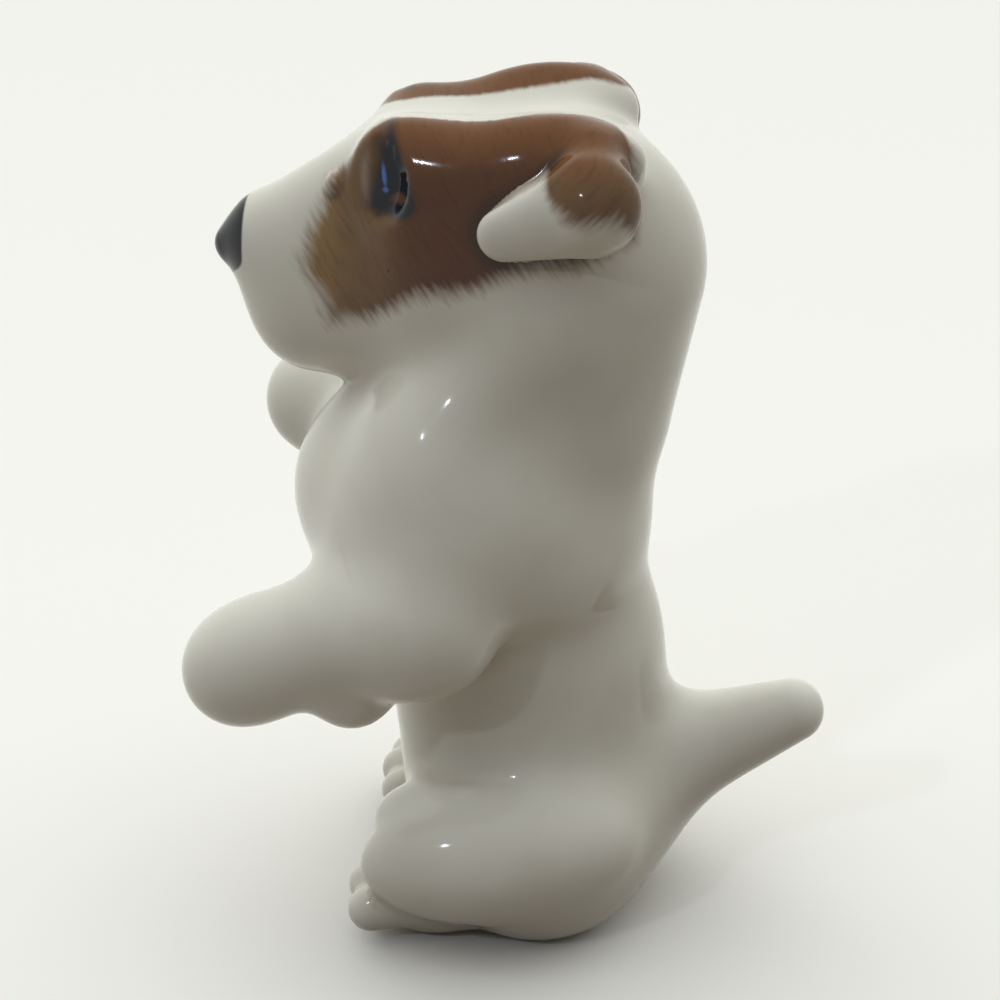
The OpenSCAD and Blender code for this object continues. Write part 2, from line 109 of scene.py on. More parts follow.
class DogSizes(bpy.types.PropertyGroup):
    """Sizes of the castings."""
    chest_w: size("Chest width", "Width across the breast", 24.4)
    chest_d: size("Chest depth", "Depth of the chest from breastbone to back", 27.8)
    chest_h: size("Chest height", "Height of the breast itself", 23)
    chest_z: size("Chest level", "Height of the chest's middle above the base", 35.5)
    shoulder_w: size("Shoulder width", "Width across the shoulders", 28.8)
    rib_w: size("Rib width", "Width across the ribs", 25.2)
    waist_w: size("Waist width", "Width of the waist", 21.2)
    waist_d: size("Waist depth", "Depth of the waist", 23)
    seat_w: size("Seat width", "Width of the seat", 26)
    seat_d: size("Seat depth", "Depth of the seat", 23.2)
    haunch_w: size("Haunch width", "Width across the haunches", 29)
    neck_w: size("Neck width", "Width of the neck", 20.2)
    neck_d: size("Neck depth", "Depth of the neck", 21.2)
    neck_z: size("Neck level", "Height of the middle of the neck's seat", 49.2)
    neck_tilt: angle("Neck tilt", "Tilt of the neck's seat, higher at the nape", 13.5)
    wall: size("Wall", "Thickness of the cast wall", 3)
    vent_d: size("Vent", "Diameter of the vent hole in the base", 5)
    skull_w: size("Skull width", "Width of the skull", 19.2)
    skull_l: size("Skull length", "Length of the skull", 20)
    skull_h: size("Skull height", "Height of the skull", 18.8)
    cheek_w: size("Cheek width", "Width across the cheeks", 19.6)
    nose_reach: size("Nose reach", "Reach of the nose tip ahead of the neck's seat", 26.2)
    nose_w: size("Nose width", "Width of the nose", 6.2)
    bridge_d: size("Bridge", "Thickness of the bridge behind the nose", 7.4)
    chin_d: size("Chin", "Thickness of the jaw at the chin", 11)
    brow_span: size("Brow span", "Distance between the two brows", 9.6)
    brow_d: size("Brow", "Thickness of the crest over each eye", 7)
    ear_l: size("Ear length", "Length of the ear's flap from front to back", 11.6)
    ear_h: size("Ear rear height", "Height of the ear's flap at its rear", 7.2)
    ear_front_h: size("Ear front height", "Height of the ear's flap at its front", 4.2)
    ear_t: size("Ear thickness", "Thickness of the ear's flap", 4.2)
    elbow_span: size("Elbow span", "Distance between the middles of the elbows", 24.8)
    arm_d: size("Arm", "Thickness of the upper arm", 12)
    wrist_d: size("Wrist", "Thickness of the foreleg at the wrist", 9.5)
    paw_d: size("Forepaw", "Thickness of the forepaw", 9.4)
    left_reach: size("Left reach", "Reach of the left forepaw ahead of the origin", 20.2)
    left_paw_z: size("Left paw level", "Height of the left forepaw's middle", 25.2)
    right_reach: size("Right reach", "Reach of the right forepaw ahead of the origin", 17.6)
    right_paw_z: size("Right paw level", "Height of the right forepaw's middle", 38.8)
    thigh_l: size("Thigh length", "Length of the thigh", 22)
    thigh_h: size("Thigh height", "Height of the thigh", 11.6)
    thigh_t: size("Thigh thickness", "Thickness of the thigh", 10.8)
    paw_span: size("Hind paw span", "Distance between the middles of the hind paws", 18)
    foot_l: size("Hind paw length", "Length of the hind paw from heel to toe", 11.6)
    foot_w: size("Hind paw width", "Width of the hind paw", 8.4)
    toe_d: size("Toe", "Thickness of a toe", 4)
    tail_l: size("Tail length", "Length of the tail between the middles of its ends", 14.9)
    tail_root_d: size("Tail root", "Thickness of the tail at its root", 11)
    tail_tip_d: size("Tail tip", "Thickness of the tail at its tip", 5.5)
    tail_rise: angle("Tail rise", "Rise of the tail above level", 26)


class DogColours(bpy.types.PropertyGroup):
    """Colours of the glaze and of the paint under it."""
    porcelain: colour("Porcelain", "White body under the clear glaze", "#d9d7ce")
    clouded: colour("Clouded", "Greyer body where the glaze lies thick", "#c9c5b9")
    # Pooled glaze: painted shade in creases, together with the tint of glaze that gathers there
    pooled_glaze_and_shade: colour("Pooled glaze", "Tint of the glaze where it pools in creases", "#a8977f")
    caramel: colour("Caramel", "Lightest brown of the patches", "#6f4520")
    chestnut: colour("Chestnut", "Deep brown of the patches", "#5a3216")
    # Umber serves the brush strokes and pinholes, and also the painted shade in brown creases and round the eyes
    umber: colour("Umber", "Darkest brush strokes", "#2e160c")
    olive: colour("Olive", "Golden brown of the cheeks, where the paint is thin", "#8e7047")
    eye: colour("Eye", "Blue black of the eyes", "#171b28")
    iris: colour("Iris", "Brown low in the eye", "#6a4a36")
    # Glint: a painted highlight, the eye's reflection of a bluish light painted as a blue streak
    glint: colour("Glint", "Blue streak painted in the eye", "#5b7fd6")
    nose: colour("Nose", "Blue black of the nose", "#131b20")


class StageSettings(bpy.types.PropertyGroup):
    """Camera, floor and light."""
    camera_turn: angle("Camera turn", "Camera's turn round the figurine, from straight ahead", 96)
    camera_rise: angle("Camera rise", "Camera's rise above level", 25)
    camera_range: size("Camera range", "Distance from the camera to the figurine's middle", 170)
    floor: colour("Floor", "Pale floor", "#e8e7e4")
    backdrop: colour("Backdrop", "Background over the floor's far edge", "#f3f4ee")
    bounce: colour("Bounce", "Floor as it lights the figurine from below", "#8f867b")
    room: colour("Room", "Dim room that fills the shadows", "#2e2925")
    window: colour("Window", "Broad soft light from above and behind", "#fbfdf9")
    window_strength: FloatProperty(name="Window strength", description="Strength of the room's light", default=1.75,
                                   min=0.0, subtype="FACTOR", soft_max=4.0)


def read_sizes():
    """Every size of the castings in millimetres and every angle in degrees, with the places worked out from them."""
    group = bpy.context.scene.dog_sizes
    s = SimpleNamespace()
    for name, prop in group.bl_rna.properties.items():
        if prop.type == "FLOAT":
            value = getattr(group, name)
            setattr(s, name, float(np.degrees(value)) if prop.unit == "ROTATION" else value / MM)
    lay_out_torso(s)
    lay_out_head(s)
    lay_out_limbs(s)
    return s


def at(*place):
    return np.array(place, float)


def level(degrees):
    """Unit direction that runs back along +Y and rises by an angle."""
    a = np.radians(degrees)
    return at(0, np.cos(a), np.sin(a))


def lay_out_torso(s):
    """Middles of the torso's masses and the neck's seat, in mm."""
    s.neck_at = at(0, 3, s.neck_z)
    s.seat_back = level(s.neck_tilt)
    s.seat_up = level(s.neck_tilt + 90)
    s.chest_at = at(0, -3.8, s.chest_z)
    s.rib_at = at(0, 0.1, s.chest_z - 2)
    s.waist_at = at(0, 1.4, 20.5)
    s.seat_at = at(0, 3.2, 8.8)
    s.foot_y = 3.0
    s.haunch_size = at(14.8, 17, 14)
    s.haunch_at = at((s.haunch_w - s.haunch_size[0]) / 2, 2.6, 6.2)
    s.shoulder_size = at(10, 12.6, 13.6)
    s.shoulder_at = at((s.shoulder_w - s.shoulder_size[0]) / 2, -4.8, s.chest_z + 3)


def lay_out_head(s):
    """Middles of the head's masses, from the neck's seat, and of the ears', in mm."""
    s.skull_at = s.neck_at + at(0, -1.2, 8.4)
    s.cheek_size = at(10.4, 14.4, 15.6)
    s.cheek_at = s.neck_at + at((s.cheek_w - s.cheek_size[0]) / 2, -6.2, 7.8)
    s.nose_size = at(s.nose_w, 5.4, 6)
    s.nose_at = s.neck_at + at(0, s.nose_size[1] / 2 - s.nose_reach, 7.2)
    s.bridge_root = s.neck_at + at(0, -9.5, 12.9)
    s.bridge_end = s.nose_at + at(0, 2.3, -0.2)
    s.jaw_root = s.neck_at + at(0, -8.5, 4)
    s.jaw_end = s.nose_at + at(0, 5.4, -5.0)
    s.brow_at = s.neck_at + at(s.brow_span / 2, -10.2, 14.8)
    s.crest_end = s.neck_at + at(6.2, -1.0, 13.8)
    s.socket_at = s.brow_at + at(4.6, -4.4, -0.4)
    s.eye_at = s.brow_at + at(0.6, -1.1, -0.9)
    s.ear_root = at(s.skull_w / 2 - 3, 4.2, s.neck_z + 16)
    s.ear_rear = at(s.skull_w / 2 + 2.1, 6.4, s.neck_z + 13.9)
    s.right_ear_shift = at(0, -1.2, 0.6)
    s.ear_front = s.ear_rear - at(0.1, s.ear_l - (s.ear_h + s.ear_front_h) / 2, 2.1)


def lay_out_limbs(s):
    """Middles of elbows, paws, thighs, feet and tail, in mm."""
    s.left_elbow = at(s.elbow_span / 2, -6, s.chest_z - 5.4)
    s.right_elbow = at(s.elbow_span / 2, -6.4, s.chest_z - 1.6)
    s.left_paw = at(s.elbow_span / 2 - 0.4, -s.left_reach, s.left_paw_z)
    s.right_paw = at(s.elbow_span / 2 - 1.4, -s.right_reach, s.right_paw_z)
    s.thigh_at = at((s.haunch_w - 5.8) / 2, -0.2, 8.8)
    s.foot_at = at(s.paw_span / 2, -5.6, 3.5)
    s.toe_pitch = 0.3 * s.foot_w
    s.tail_root = at(0, s.seat_at[1] + s.seat_d / 2 - 4.8, 10.4)
    s.tail_tip = s.tail_root + s.tail_l * level(s.tail_rise)


# Masses: each takes points as three rows and gives the distance to its skin in mm, negative inside

def egg(p, middle, full_size, tip=0.0, turn=0.0):
    """Egg-shaped mass: the share of the way to its skin along each ray from its middle, over the slope there.
    It is tipped about X and then turned about Z, in degrees."""
    x, y, z = (p[i] - middle[i] for i in range(3))
    c, n = np.cos(np.radians(tip)), np.sin(np.radians(tip))
    y, z = y * c + z * n, z * c - y * n
    c, n = np.cos(np.radians(turn)), np.sin(np.radians(turn))
    x, y = x * c + y * n, y * c - x * n
    rx, ry, rz = (0.5 * v for v in full_size)
    share = np.sqrt((x / rx) ** 2 + (y / ry) ** 2 + (z / rz) ** 2)
    slope = np.sqrt((x / rx ** 2) ** 2 + (y / ry ** 2) ** 2 + (z / rz ** 2) ** 2)
    return np.where(share < 0.01, -min(rx, ry, rz), share * (share - 1.0) / np.maximum(slope, 1e-6))


def bar(p, a, b, d_a, d_b, flat=1.0):
    """Tapering bar with round ends from a to b: the distance to the nearest of the spheres that run along it, found
    square to its slanted side, flattened across X."""
    q = [(p[0] - a[0]) / flat, p[1] - a[1], p[2] - a[2]]
    run = [(b[0] - a[0]) / flat, b[1] - a[1], b[2] - a[2]]
    length = np.sqrt(sum(v * v for v in run))
    along = sum(u * v for u, v in zip(q, run)) / length
    off = np.sqrt(np.maximum(sum(u * u for u in q) - along ** 2, 0.0))
    taper = 0.5 * (d_a - d_b)
    t = np.clip((along - off * taper / np.sqrt(length ** 2 - taper ** 2)) / length, 0.0, 1.0)
    return (np.hypot(off, along - t * length) - 0.5 * d_a + taper * t) * flat


def blend(a, b, k):
    """Two masses pressed together: the nearer skin, pulled out by a cubic where both are within 1.5 k, which is k / 4
    where they meet."""
    h = np.maximum(1.0 - np.abs(a - b) / (1.5 * k), 0.0)
    return np.minimum(a, b) - 0.25 * k * h ** 3


def carve(a, b, k):
    """Mass a with mass b scooped out, its edge eased over k."""
    return -blend(-a, b, k)


def ease(t):
    """Smooth step from 0 to 1."""
    t = np.clip(t, 0.0, 1.0)
    return t * t * (3.0 - 2.0 * t)


def on_left(p):
    """Points of both sides as if on the left."""
    return np.stack([np.abs(p[0]), p[1], p[2]])


def on_right(p):
    """Points mirrored to the other side."""
    return np.stack([-p[0], p[1], p[2]])


def for_ears(p, s):
    """Places as the left ear sees them: the right ear is set a little ahead and higher."""
    return on_left(p) - np.where(p[0] < 0, 1.0, 0.0) * s.right_ear_shift[:, None]


def torso_form(p, s):
    """Neck, two neck straps, chest, ribs, two shoulders, waist, seat and two haunches, blended in that order."""
    q = on_left(p)
    neck_low = at(0, 2.2, s.chest_z + 9.5)
    neck_high = s.neck_at + at(0, 1.3, 6)
    neck = bar(p, neck_low, neck_high, s.neck_d, s.neck_d, s.neck_w / s.neck_d)
    strap = bar(q, s.neck_at + at(6.8, 0.4, 3.4), s.shoulder_at + at(-1.6, 0.4, 6.2), 7.0, 8.0)
    chest = egg(p, s.chest_at, (s.chest_w, s.chest_d, s.chest_h), -8)
    ribs = egg(p, s.rib_at, (s.rib_w, s.chest_d - 7, s.chest_h - 6), -14)
    shoulder = egg(q, s.shoulder_at, s.shoulder_size)
    waist = egg(p, s.waist_at, (s.waist_w, s.waist_d, 32))
    seat = egg(p, s.seat_at, (s.seat_w, s.seat_d, 19.2))
    haunch = egg(q, s.haunch_at, s.haunch_size)
    upper = blend(blend(blend(neck, chest, 5), ribs, 4), strap, 4.5)
    return blend(blend(blend(blend(upper, shoulder, 6), waist, 2.2), seat, 5), haunch, 4)


def head_form(p, s):
    """Skull, two cheeks, bridge, jaw, muzzle, nose, two crests that run back from the brows and the seats of the
    ears, with a shallow parting between the crests and two eye sockets scooped out, an eye in each, crisp along its
    rear lid and merging with the cheek in front, and a small lump at its inner corner."""
    q = on_left(p)
    skull = egg(p, s.skull_at, (s.skull_w, s.skull_l, s.skull_h))
    cheek = egg(q, s.cheek_at, s.cheek_size)
    bridge = bar(p, s.bridge_root, s.bridge_end, s.bridge_d + 3.8, s.bridge_d)
    jaw = bar(p, s.jaw_root, s.jaw_end, s.chin_d + 4.4, s.chin_d)
    muzzle = egg(p, s.nose_at + at(0, 8, -1.6), (10.8, 14.5, 11.4), -8)
    crest = bar(q, s.brow_at, s.crest_end, s.brow_d, s.brow_d + 0.4)
    nose = bar(p, s.nose_at + at(0, 1.6, 0.8), s.nose_at + at(0, -1.2, -0.4), s.nose_w - 0.6, 3.0)
    seat = egg(for_ears(p, s), s.ear_root, (6.4, 12.0, 6.4))
    socket = egg(q, s.socket_at, (8.6, 9.6, 9.4), 8)
    corner = egg(q, s.brow_at + at(-1.0, -5.6, -1.8), (1.7, 1.8, 1.6))
    eyeball = egg(q, s.eye_at, (3.4, 3.8, 6.2))
    lid = 0.3 + 1.7 * ease(np.maximum(s.eye_at[1] - q[1], 0.8 * (s.eye_at[2] - 1.2 - q[2])) / 1.6)
    parting = bar(p, at(0, -7.5, s.neck_z + 26.8), at(0, 2, s.neck_z + 26.8), 18, 18)
    face = blend(blend(blend(skull, cheek, 4), bridge, 3), jaw, 3.5)
    face = blend(blend(blend(blend(face, muzzle, 3), crest, 3.5), nose, 1.6), seat, 3.2)
    face = carve(carve(face, parting, 1.5), socket, 0.6)
    return blend(blend(face, eyeball, lid), corner, 0.5)


def trunk_form(p, s):
    """Head and torso as one form, parted at the neck's seat."""
    return blend(torso_form(p, s), head_form(p, s), 3)


def ear_form(p, s):
    """Upper fold and hanging flap, on both sides."""
    q = for_ears(p, s)
    fold = bar(q, s.ear_root + at(1.6, 2, 0.4), s.ear_rear + at(-0.2, 0.4, 0.2), 4.8, s.ear_h - 0.8)
    flap = bar(q, s.ear_front, s.ear_rear, s.ear_front_h, s.ear_h, s.ear_t / s.ear_h)
    return blend(fold, flap, 1)


def foreleg_form(p, s, elbow, paw):
    """Upper arm, forearm, paw and the pad under the forearm, on the dog's left side."""
    ahead = (paw - elbow) / np.linalg.norm(paw - elbow)
    arm = bar(p, at(elbow[0] - 4, elbow[1] + 3.6, s.chest_z + 1.4), elbow, s.arm_d - 1, s.arm_d - 0.4)
    fore = bar(p, elbow + at(0, 0, 0.8), paw - 3.6 * ahead + at(0, 0, 0.6), s.arm_d, s.wrist_d)
    fist = egg(p, paw, (s.paw_d, s.paw_d - 0.2, s.paw_d), -25)
    pad = egg(p, elbow + 5.6 * ahead - at(0, 0, 4.2), (7.2, 6.8, 6.4))
    return blend(blend(blend(arm, fore, 2.5), fist, 3), pad, 2)


def left_foreleg_form(p, s):
    return foreleg_form(p, s, s.left_elbow, s.left_paw)


def right_foreleg_form(p, s):
    return foreleg_form(on_right(p), s, s.right_elbow, s.right_paw)


def thigh_form(p, s):
    """Thigh and knee fold of both hind legs."""
    q = on_left(p)
    thigh = egg(q, s.thigh_at, (s.thigh_t, s.thigh_l, s.thigh_h), 6, 6)
    knee = egg(q, s.thigh_at + at(-2.2, -5.4, 1.8), (7.6, 9.4, 5.4))
    return blend(thigh, knee, 1.2)


def paw_form(p, s):
    """Foot of both hind legs with its three toes, spread in a fan."""
    q = on_left(p)
    paw = egg(q, s.foot_at, (s.foot_w, s.foot_l, 7.6))
    tip = 1 - s.foot_l / 2
    for side, sink, ahead in ((0, -0.1, -0.4), (-1, -0.4, 0.0), (1, -0.4, 0.0)):
        root = s.foot_at + at(side * s.toe_pitch, -1.4, sink + 0.5)
        end = s.foot_at + at(1.2 * side * s.toe_pitch, tip + ahead, sink)
        paw = blend(paw, bar(q, root, end, s.toe_d, s.toe_d), 0.8)
    return paw


def tail_form(p, s):
    return bar(p, s.tail_root, s.tail_tip, s.tail_root_d, s.tail_tip_d)


def shoulder_fillet(p, s):
    """Wide over the shoulder and down the front of the arm, narrow in the crease behind and under it."""
    over = ease((p[2] - s.chest_z + 5.0) / 8.0)
    ahead = ease((-p[1] - 8.0) / 5.0)
    return 2.0 + 2.4 * np.maximum(over, ahead)


def thigh_fillet(p, s):
    """Wide over the top of the thigh and behind it, narrow along its lower edge and at the knee."""
    over = ease((p[2] - 6.0) / 7.0)
    behind = ease((p[1] + 4.0) / 8.0)
    return 1.6 + 2.4 * over * behind


def even_fillet(k):
    return lambda p, s: k


# Every casting that is luted to the trunk, with the fillet of its joint in mm
LUTED = (
    (left_foreleg_form, shoulder_fillet),
    (right_foreleg_form, shoulder_fillet),
    (thigh_form, thigh_fillet),
    (paw_form, even_fillet(1.6)),
    (tail_form, even_fillet(4.0)),
    (ear_form, even_fillet(1.0)),
)


def dog_form(p, s):
    """The whole glazed dog: the trunk with every other casting blended on, cut level at the base and vented."""
    f = trunk_form(p, s)
    for form, fillet in LUTED:
        f = blend(f, form(p, s), fillet(p, s))
    vent = bar(p, at(0, s.foot_y, -s.wall), at(0, s.foot_y, s.wall), s.vent_d, s.vent_d)
    return carve(carve(f, p[2] + GLAZE_INSET, 0.6), vent, 0.4)


# Paint: where each colour ends, as distances in mm from its edge, positive inside

# Brown patch on each side of the head: left and right edge of the white blaze along Y, front edge over Z, lower edge
# along Y and rear edge over Z, all in mm
BLAZE_LEFT = ((-13.8, 3.5), (-12.5, 3.5), (-11.5, 4.2), (-9.7, 5.4), (-8.7, 4.9), (-7.2, 4.9), (-4.8, 5.1),
              (-2.5, 5.8), (-0.6, 6.5), (1.6, 6.5), (3.2, 5.6), (5.5, 5.0), (7.5, 5.6), (9, 7.5))
BLAZE_RIGHT = ((-13.8, 4.0), (-12.5, 4.2), (-11.5, 3.8), (-9.8, 2.4), (-6.6, 2.7), (-4.3, 3.1), (-0.4, 3.9),
               (3.5, 4.6), (5.9, 5.1), (7.5, 5.6), (9, 7.5))
PATCH_FRONT = ((52, -13.0), (54.2, -14.0), (56, -14.9), (57.4, -15.1), (59.3, -14.5), (61, -13.7), (63, -13.2))
PATCH_LOW = ((-13.4, 52.0), (-10, 52.8), (-6.7, 55.0), (-4.7, 55.7), (-2, 56.3), (2.5, 58.2), (5, 58.2), (9.6, 59.7))
PATCH_REAR = ((58, 8.9), (60, 9.6), (64, 9.8), (66.5, 9.4), (69, 8.4))
# How far the brush strokes fray the patch at the blaze, in front, below and at the rear, in mm
FRAY = (0.15, 0.9, 0.8, 0.5)
# Upper edge of the white on the ear's flap along Y, how far strokes fray it, and how far the brown of the ear's inner
# side starts inside the flap's middle, in mm
EAR_WHITE = ((-1.4, 62.6), (0.4, 64), (2.6, 65), (3.3, 65), (4.1, 63.5), (4.9, 62.9), (6, 62.6), (8, 62.8),
             (9, 62.4), (10, 60.5))
EAR_FRAY = 0.7
EAR_INNER = 1.3


def along_curve(x, curve):
    """Height of a smooth curve through points at x: cubic stretches whose slopes at each point are the mean slope
    of its two sides."""
    px, py = np.array(curve, float).T
    slope = np.gradient(py, px)
    x = np.clip(x, px[0], px[-1])
    i = np.clip(np.searchsorted(px, x) - 1, 0, len(px) - 2)
    w = px[i + 1] - px[i]
    u = (x - px[i]) / w
    rise = (2 * u ** 3 - 3 * u ** 2 + 1) * py[i] + (3 * u ** 2 - 2 * u ** 3) * py[i + 1]
    return rise + w * ((u ** 3 - 2 * u ** 2 + u) * slope[i] + (u ** 3 - u ** 2) * slope[i + 1])


def oval(u, v, half_u, half_v):
    """Distance inside an oval with its middle at 0, by the shorter half width."""
    return (1.0 - np.hypot(u / half_u, v / half_v)) * min(half_u, half_v)


def head_marks(p, s):
    """Patch, fraying of its edge, eye with its iris and painted highlight, and nose."""
    x, y, z = on_left(p)
    blaze = np.where(p[0] > 0, along_curve(y, BLAZE_LEFT), along_curve(y, BLAZE_RIGHT))
    edges = np.stack([x - blaze, y - along_curve(z, PATCH_FRONT), z - along_curve(y, PATCH_LOW),
                      along_curve(z, PATCH_REAR) - y])
    # The nearest edge has the most say in how far the paint frays
    near = 1.0 / (0.4 + np.maximum(edges, 0.0)) ** 2
    fray = (near * np.array(FRAY)[:, None]).sum(0) / near.sum(0)
    # Eye from its middle: slanted edges behind, ahead and below, rounded where they meet, on the side of the face only
    eye_y, eye_z = y - s.eye_at[1], z - s.eye_at[2]
    on_side = x - s.brow_span / 2 + 0.6
    behind = 1.85 - 0.37 * eye_z - eye_y
    ahead = 0.35 * (eye_y + 1.3 - 0.29 * eye_z)
    below = blend(eye_z + 2.1, 2.5 + 0.62 * eye_z - 0.78 * eye_y, 0.6)
    eye = np.minimum(blend(behind, blend(ahead, below, 0.5), 0.4), on_side)
    # Iris low at the rear, and a painted highlight of a narrow streak over a round spot
    iris = np.minimum(oval(eye_y - 0.75, eye_z + 0.9 - 0.3 * (eye_y - 0.75), 0.95, 0.45), on_side)
    streak = oval(eye_y + 0.33 + 0.1 * eye_z, eye_z - 0.6, 0.2, 1.0)
    glint = np.minimum(np.maximum(streak, oval(eye_y + 0.3, eye_z + 0.45, 0.26, 0.26)), on_side)
    # Nose: a level edge behind and a rounded one below
    nose = blend(s.nose_at[1] + 0.2 - y, z - s.nose_at[2] + 2.6 - 0.12 * x ** 2, 0.6)
    return {"patch": edges.min(0), "fray": fray, "eye": eye, "iris": iris, "glint": glint, "nose": nose}


def ear_marks(p, s):
    """Brown of the ear's fold above the white of its flap, on its outer side, and brown all over its inner side."""
    x, y, z = for_ears(p, s)
    fold = np.minimum(z - along_curve(y, EAR_WHITE), 2.0)
    inner = s.ear_front[0] - EAR_INNER - x
    return {"patch": np.maximum(fold, inner), "fray": np.full_like(x, EAR_FRAY)}


# Skins: rays from a casting's core, each carried to the glazed surface

def fan(middle, axis, across, along, spreads):
    """Rows of rays that all leave one point, opened from the axis by each spread in degrees."""
    rows = np.radians(np.asarray(spreads, float))
    return [(middle, axis, across, along, spread) for spread in rows]


def rings(middles, across, alongs):
    """Rows of rays that leave a path square to it, one row at each of its points."""
    return [(m, np.zeros(3), across, along, np.pi / 2) for m, along in zip(middles, alongs)]


def spread_rays(rows, sides):
    """Origins and directions of all rays, row by row: along the axis by the spread's cosine, and outwards in a
    full turn of equal steps by its sine."""
    middle, axis, across, along = (np.array([row[i] for row in rows])[:, None, :] for i in range(4))
    spread = np.array([row[4] for row in rows])[:, None, None]
    turn = (2 * np.pi * np.arange(sides) / sides)[None, :, None]
    ways = axis * np.cos(spread) + (across * np.cos(turn) + along * np.sin(turn)) * np.sin(spread)
    starts = np.broadcast_to(middle, ways.shape)
    return starts.reshape(-1, 3).T.copy(), ways.reshape(-1, 3).T.copy()


def with_poles(starts, ways, first, last):
    """Rays of a grid with one ray more before and after it, for the points that close its ends."""
    starts = np.column_stack([first[0], starts, last[0]])
    ways = np.column_stack([first[1], ways, last[1]])
    return starts, ways


def reach(form, starts, ways, most):
    """Distance along each ray to a form's skin: stepped out and back by the distance that is left."""
    r = np.zeros(starts.shape[1])
    for _ in range(SKIN_STEPS):
        r = np.clip(r - form(starts + r * ways), 0.0, most)
    return r


def glazed_skin(s, own, starts, ways, most, past=None, beneath=None, reach_out=LUTE_REACH):
    """Points of one casting on the glazed dog: from the casting's own skin each ray goes on to the blended
    surface, but no further than the joint's fillet. Past the joint it dives under what it laps over, and it sinks
    a little beneath what laps over it."""
    bare = reach(lambda p: own(p, s), starts, ways, most)
    r = bare.copy()
    for _ in range(GLAZE_STEPS):
        gap = dog_form(starts + r * ways, s) + GLAZE_INSET
        r = np.clip(r - GLAZE_PACE * gap, 0.0, bare + reach_out)
    p = starts + r * ways
    depth = np.zeros_like(r)
    if past:
        depth += DIVE_DEPTH * ease((past(p) - LAP) / DIVE_LENGTH)
    if beneath:
        depth += SINK_DEPTH * ease(1.0 + beneath(p) / SINK_LENGTH)
    return p - depth * slopes(p, s)


def slopes(p, s, step=0.1):
    """Unit normals of the glazed dog at points, from the slope of its form in each direction."""
    n = np.stack([dog_form(p + shift, s) - dog_form(p - shift, s) for shift in step * np.eye(3)[:, :, None]])
    return n / np.maximum(np.linalg.norm(n, axis=0), 1e-9)


def hollowness(p, s, step=0.8):
    """How hollow the glazed dog is at points, in 1/mm, from how much nearer its skin is all round than at them."""
    around = -6.0 * dog_form(p, s)
    for shift in step * np.eye(3)[:, :, None]:
        around += dog_form(p + shift, s) + dog_form(p - shift, s)
    return -around / step ** 2


def over_seat(p, s):
    """Height of points over the neck's seat, in mm."""
    return np.tensordot(s.seat_up, p - s.neck_at[:, None], 1)


def under_luted(p, s):
    """How far points on the trunk lie beneath the nearest casting that is luted on, in mm."""
    return trunk_form(p, s) - np.min([form(p, s) for form, _ in LUTED], axis=0)


def grid_faces(rows, sides):
    """Quads between the rows of a closed grid and triangles round its two poles, as indices of its points."""
    i = np.arange(rows - 1)[:, None] * sides
    j = np.arange(sides)[None, :]
    k = (j + 1) % sides
    quads = 1 + np.stack([i + j, i + k, i + sides + k, i + sides + j], axis=-1).reshape(-1, 4)
    j, k = j[0], k[0]
    end = rows * sides + 1
    last = 1 + (rows - 1) * sides
    first_fan = np.stack([np.zeros(sides, int), 1 + k, 1 + j], axis=-1)
    last_fan = np.stack([np.full(sides, end), last + j, last + k], axis=-1)
    return quads, np.vstack([first_fan, last_fan])


def signed_volume(p, quads, tris):
    """Volume inside closed faces, negative when they are turned inwards."""
    halves = np.vstack([quads[:, :3], quads[:, [0, 2, 3]], tris])
    a, b, c = (p[:, halves[:, i]].T for i in range(3))
    return np.einsum("ij,ij->i", a, np.cross(b, c)).sum() / 6.0


def shell(s, points, rows, sides, **marks):
    """A closed skin with its normals and marks, its faces turned outwards. A further mark says how deep each point lies
    in a crease, from 0 to 1: there the colour is darkened with painted shade and the tint of glaze that gathers in it."""
    quads, tris = grid_faces(rows, sides)
    if signed_volume(points, quads, tris) < 0:
        quads, tris = quads[:, ::-1], tris[:, ::-1]
    marks["pool_and_shade"] = ease((hollowness(points, s) - POOL_AND_SHADE_FROM) / POOL_AND_SHADE_RANGE)
    return SimpleNamespace(points=points, quads=quads, tris=tris, normals=slopes(points, s), marks=marks)


def make_piece(node, shells, material):
    """Mesh object of one or more skins: points, faces, normals and marks are set as whole arrays. It stands for the
    casting of that node and takes the material that it is given."""
    name = node + "_casting"
    points = np.hstack([k.points for k in shells]).T * MM
    starts = np.cumsum([0] + [k.points.shape[1] for k in shells])
    quads = np.vstack([k.quads + n for k, n in zip(shells, starts)])
    tris = np.vstack([k.tris + n for k, n in zip(shells, starts)])
    corners = np.concatenate([quads.ravel(), tris.ravel()])
    counts = np.concatenate([np.full(len(quads), 4), np.full(len(tris), 3)])
    mesh = bpy.data.meshes.new(name)
    mesh.vertices.add(len(points))
    mesh.vertices.foreach_set("co", points.ravel())
    mesh.loops.add(len(corners))
    mesh.loops.foreach_set("vertex_index", corners)
    mesh.polygons.add(len(counts))
    mesh.polygons.foreach_set("loop_start", np.concatenate([[0], np.cumsum(counts)[:-1]]))
    mesh.polygons.foreach_set("use_smooth", np.ones(len(counts), bool))
    mesh.update(calc_edges=True)
    for mark in shells[0].marks:
        layer = mesh.attributes.new(mark, "FLOAT", "POINT")
        layer.data.foreach_set("value", np.concatenate([k.marks[mark] for k in shells]))
    mesh.normals_split_custom_set_from_vertices(np.hstack([k.normals for k in shells]).T)
    mesh.materials.append(material)
    piece = bpy.data.objects.new(name, mesh)
    bpy.context.scene.collection.objects.link(piece)
    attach(piece, "root")
    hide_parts(node)


